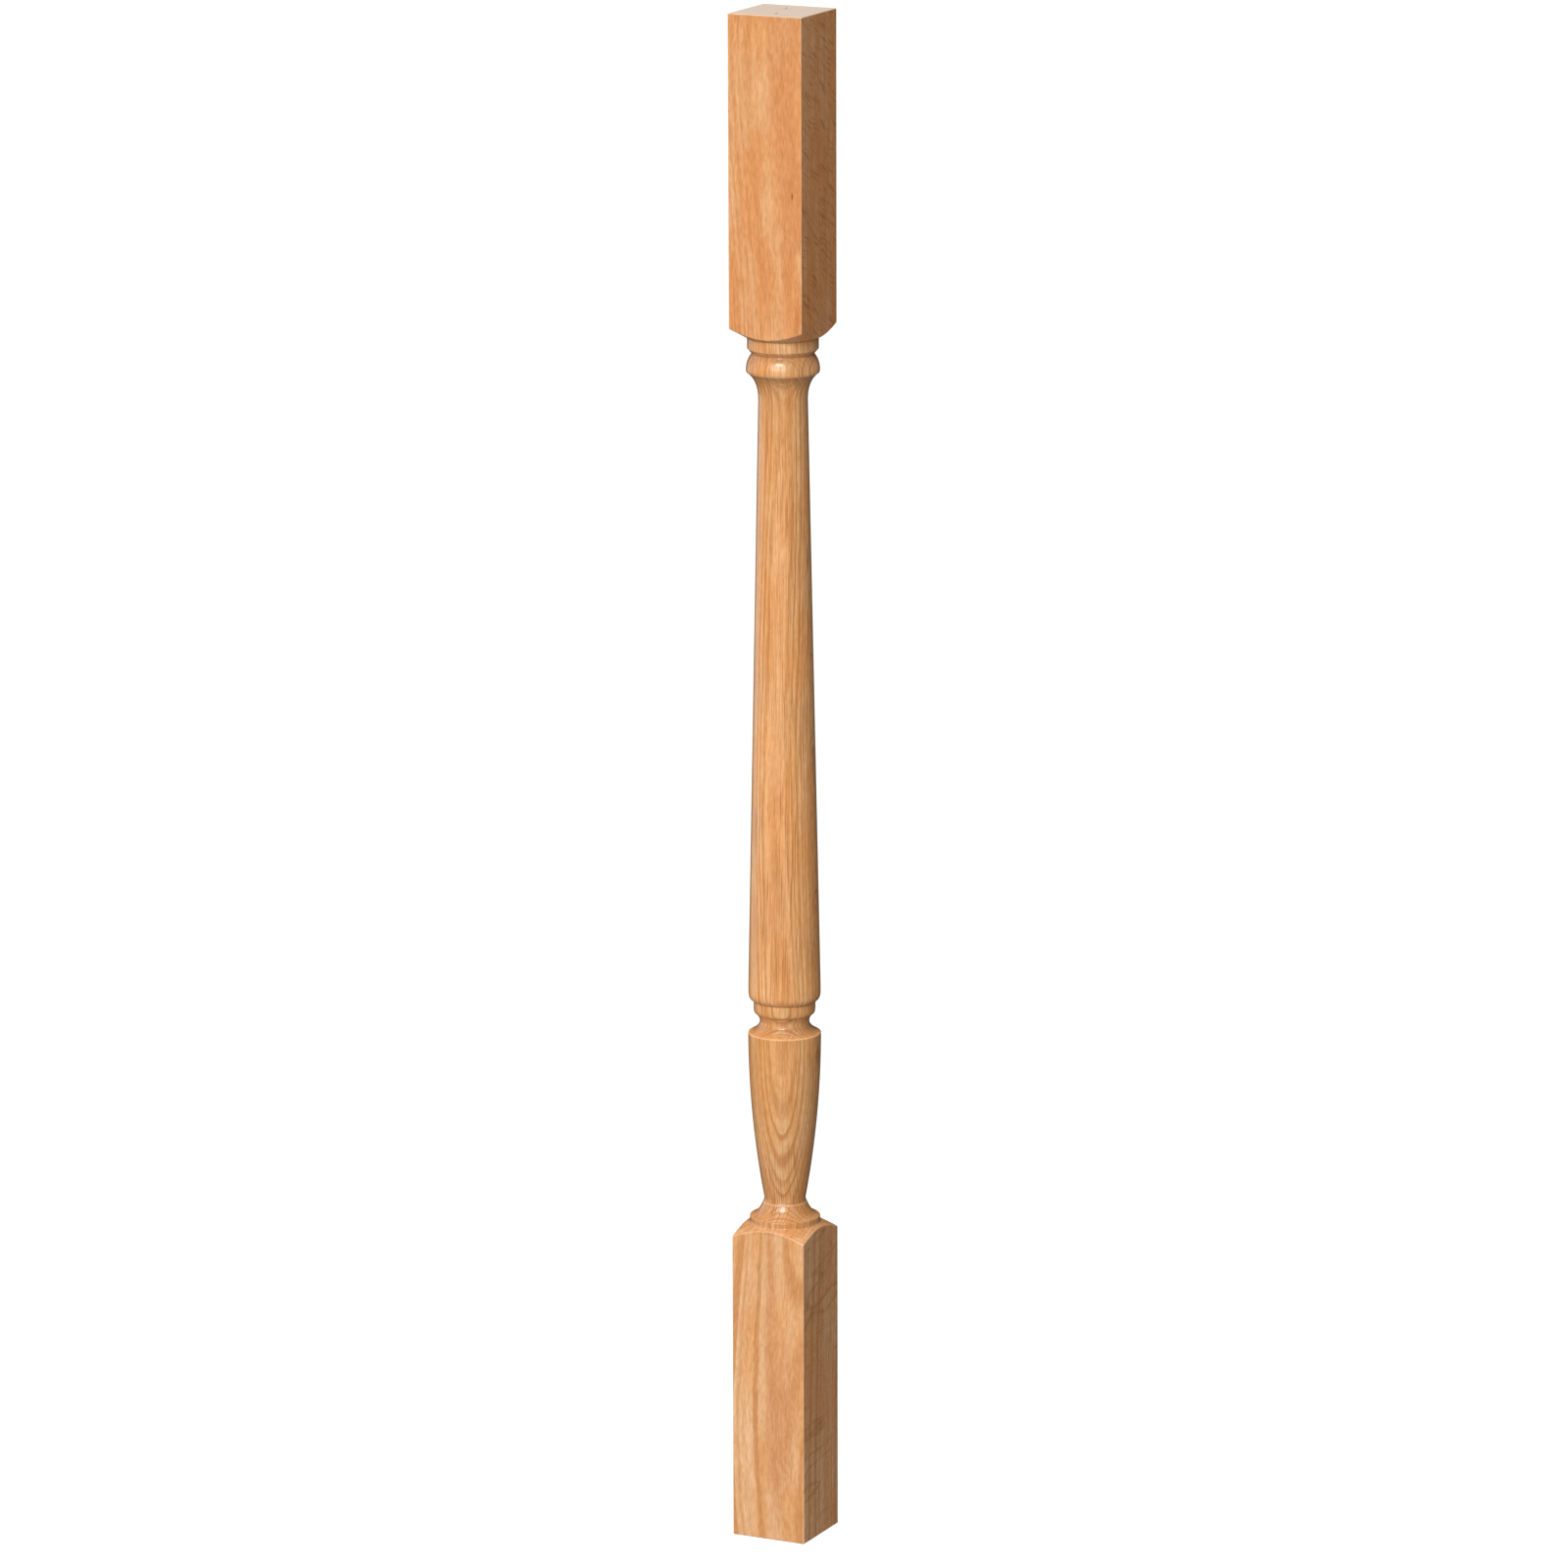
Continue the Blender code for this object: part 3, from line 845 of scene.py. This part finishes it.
def makeBaluster():
    low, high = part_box("baluster")
    side = high.x - low.x
    length = high.z - low.z
    shape, marks = turnedShape(side, length)
    easeStock(shape, side)
    bmesh.ops.recalc_face_normals(shape, faces=shape.faces)
    piece = newObject("oakBaluster", shape)
    strikeSpurMarks(piece, length)
    group = oakGrainGroup()
    piece.data.materials.clear()
    piece.data.materials.append(satinOak(group, marks))
    piece.data.materials.append(sawnOak(group))
    bareFrom = length - sawnEnds["reach"] * spurMarks["depth"] * mm
    for face in piece.data.polygons:
        atEnd = face.center.z < sawnEnds["endTolerance"] * mm or face.center.z > bareFrom
        face.material_index = 1 if atEnd and abs(face.normal.z) > sawnEnds["facing"] else 0
    piece.data.shade_smooth()
    piece.data.set_sharp_from_angle(angle=math.radians(turning["sharpFold"]))
    weighted = piece.modifiers.new("Weighted normals", 'WEIGHTED_NORMAL')
    weighted.keep_sharp = True
    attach(piece, "root")
    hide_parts("baluster")
    print("baluster finished:", len(piece.data.polygons), "faces")


# The floor and the light

floorSettings = {
    "size": 60000.0,
    "colour": (0.1, 0.1, 0.1, 1.0),
    "roughness": 0.9,
    "glow": 1.0,                # how white it looks
    "bounce": 0.20,             # what it gives the undersides
    "cardBounce": 0.45,         # and what a white card in front of the piece adds
    "cardPlace": (-600.0, -600.0),
    "cardReach": (250.0, 1300.0),
}


def layFloor():
    shape = bmesh.new()
    bmesh.ops.create_grid(shape, x_segments=1, y_segments=1, size=floorSettings["size"] * mm / 2)
    floor = newObject("studioFloor", shape)
    material, tree, shader = newMaterial("white floor")
    shader.inputs["Base Color"].default_value = floorSettings["colour"]
    shader.inputs["Roughness"].default_value = floorSettings["roughness"]
    shader.inputs["Specular IOR Level"].default_value = 0.0
    shader.inputs["Emission Color"].default_value = (1.0, 1.0, 1.0, 1.0)
    cardX, cardY = (part * mm for part in floorSettings["cardPlace"])
    away = vectorMaths(tree, 'DISTANCE', surface(tree, "Object"), (cardX, cardY, 0.0))["Value"]
    nearCard, farCard = (reach * mm for reach in floorSettings["cardReach"])
    card = remap(tree, away, nearCard, farCard, floorSettings["cardBounce"], 0.0)
    bounce = maths(tree, 'ADD', card, floorSettings["bounce"])
    seen = addNode(tree, "ShaderNodeLightPath").outputs["Is Camera Ray"]
    glow = remap(tree, seen, 0.0, 1.0, bounce, floorSettings["glow"], False)
    tree.links.new(glow, shader.inputs["Emission Strength"])
    floor.data.materials.append(material)
    floor.visible_glossy = False


# A bearing is round from the lit face towards the shaded one, and a height is above the middle of the
# baluster. The mirrored ones show in the varnish.
softboxes = {
    "key": {"bearing": 9.0, "height": 24.0, "distance": 14000.0, "size": (12500.0, 9500.0),
            "watts": 1240.0, "colour": (1.0, 0.98, 0.95), "mirrored": True},
    "lamp": {"bearing": 13.0, "height": 38.0, "distance": 14000.0, "size": (5000.0, 3000.0),
             "watts": 500.0, "colour": (1.0, 0.99, 0.97), "mirrored": True},    # the key's bright middle
    "roof": {"bearing": 0.0, "height": 84.0, "distance": 9000.0, "size": (5000.0, 5000.0),
             "watts": 700.0, "colour": (1.0, 1.0, 1.0), "mirrored": False},
    "fill": {"bearing": -90.0, "height": 15.0, "distance": 7000.0, "size": (8000.0, 8000.0),
             "watts": 160.0, "colour": (1.0, 0.99, 0.98), "mirrored": True},
    "side": {"bearing": 90.0, "height": 60.0, "distance": 1500.0, "size": (600.0, 600.0),
             "watts": 0.85, "colour": (0.85, 0.92, 1.1), "mirrored": False},    # weak, near the top end
}

room = {
    "around": 0.11,             # the even light of a white room
    "reflected": 0.02,          # what of it shows in the varnish
    "backdrop": 1.0,
}


def hangSoftbox(name, middle):
    settings = softboxes[name]
    bearing = math.radians(settings["bearing"])
    height = math.radians(settings["height"])
    towards = Vector((math.sin(bearing) * math.cos(height), -math.cos(bearing) * math.cos(height),
                      math.sin(height)))
    lamp = bpy.data.lights.new(name + "Softbox", 'AREA')
    lamp.shape = 'RECTANGLE'
    lamp.size, lamp.size_y = (size * mm for size in settings["size"])
    lamp.energy = settings["watts"]
    lamp.color = settings["colour"]
    box = bpy.data.objects.new(name + "Softbox", lamp)
    box.location = middle + towards * settings["distance"] * mm
    box.rotation_euler = towards.to_track_quat('Z', 'Y').to_euler()
    box.visible_glossy = settings["mirrored"]
    bpy.context.scene.collection.objects.link(box)


def lightStudio(middle):
    for name in softboxes:
        hangSoftbox(name, middle)
    world = bpy.data.worlds.new("whiteRoom")
    world.use_nodes = True
    tree = world.node_tree
    tree.nodes.clear()
    path = addNode(tree, "ShaderNodeLightPath").outputs
    glossy = remap(tree, path["Is Glossy Ray"], 0.0, 1.0, room["around"], room["reflected"], False)
    strength = maths(tree, 'MULTIPLY_ADD', path["Is Camera Ray"], room["backdrop"] - room["around"], glossy)
    white = addNode(tree, "ShaderNodeBackground", {"Color": (1.0, 1.0, 1.0, 1.0), "Strength": strength})
    addNode(tree, "ShaderNodeOutputWorld", {"Surface": white.outputs[0]})
    bpy.context.scene.world = world


# The camera, at the photograph's viewing angle

camera = {
    "bearing": 26.03,           # round from the lit face towards the shaded one
    "distance": 4487.0,         # along the floor, from the baluster's own axis
    "height": 1454.0,
    "lookDown": 12.825,
    "lean": -0.141,
    "lens": 190.36,
    "sensor": 36.0,
    "farthestMetres": 200.0,
}


def placeCamera():
    bearing = math.radians(camera["bearing"])
    lens = bpy.data.cameras.new("photoView")
    lens.sensor_width = camera["sensor"]
    lens.lens = camera["lens"]
    lens.clip_end = camera["farthestMetres"]
    view = bpy.data.objects.new("photoView", lens)
    away = Vector((math.sin(bearing), -math.cos(bearing), 0.0)) * camera["distance"]
    turn = (Matrix.Rotation(bearing, 4, 'Z')
            @ Matrix.Rotation(math.radians(90.0 - camera["lookDown"]), 4, 'X')
            @ Matrix.Rotation(math.radians(camera["lean"]), 4, 'Z'))
    view.matrix_world = Matrix.Translation(Vector((away.x, away.y, camera["height"])) * mm) @ turn
    bpy.context.scene.collection.objects.link(view)
    bpy.context.scene.camera = view


makeBaluster()
layFloor()
lightStudio(Vector((0.0, 0.0, cadBox[1].z / 2)))
placeCamera()
bpy.context.scene.view_settings.view_transform = 'Standard'
print("studio and camera set")
